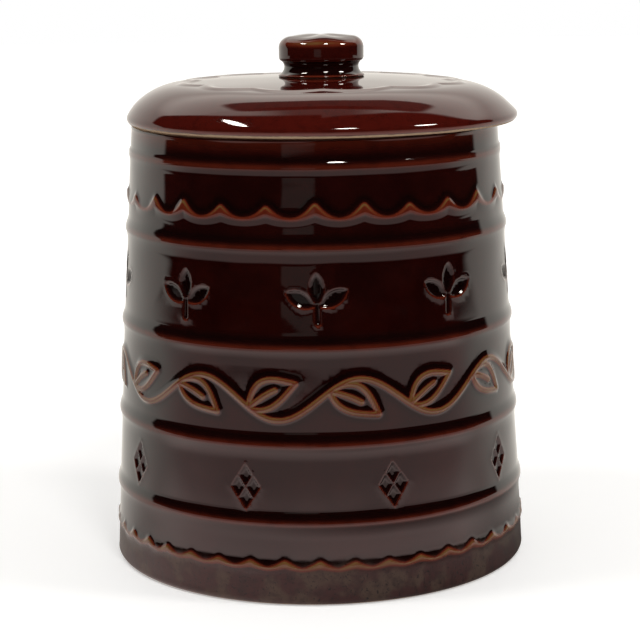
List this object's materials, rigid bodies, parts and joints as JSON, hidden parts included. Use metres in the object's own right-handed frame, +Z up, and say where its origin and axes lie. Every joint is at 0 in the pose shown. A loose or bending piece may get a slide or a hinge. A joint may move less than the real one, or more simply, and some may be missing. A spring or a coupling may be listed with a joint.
{
  "type": "biscuit jar",
  "caption": "Tapered round stoneware biscuit jar with raised ridges and a domed lift-off lid with a bun-shaped knob.",
  "frame": {"origin": "centre of the foot, on the surface that the jar stands on", "axes": "+Z up along the jar's axis; -Y towards the front as pictured, +X to its right"},
  "size_m": [0.1862, 0.1862, 0.2329],
  "materials": {
    "jar_glaze": "glossy dark red-brown glaze, thinner and mottled towards the foot, amber where it breaks over the raised lines",
    "lid_glaze": "glossy dark red-brown glaze, bare tan clay at the seat",
    "knob_glaze": "glossy red-brown glaze that breaks to amber on the crown"
  },
  "bodies": {
    "jar": {"jar": "jar_glaze"},
    "lid": {"lid": "lid_glaze", "knob": "knob_glaze"}
  },
  "joints": [
    {"name": "lid_lift", "type": "slide", "parent": "jar", "child": "lid", "axis": [0, 0, 1], "range_m": [0, 0.15]}
  ]
}
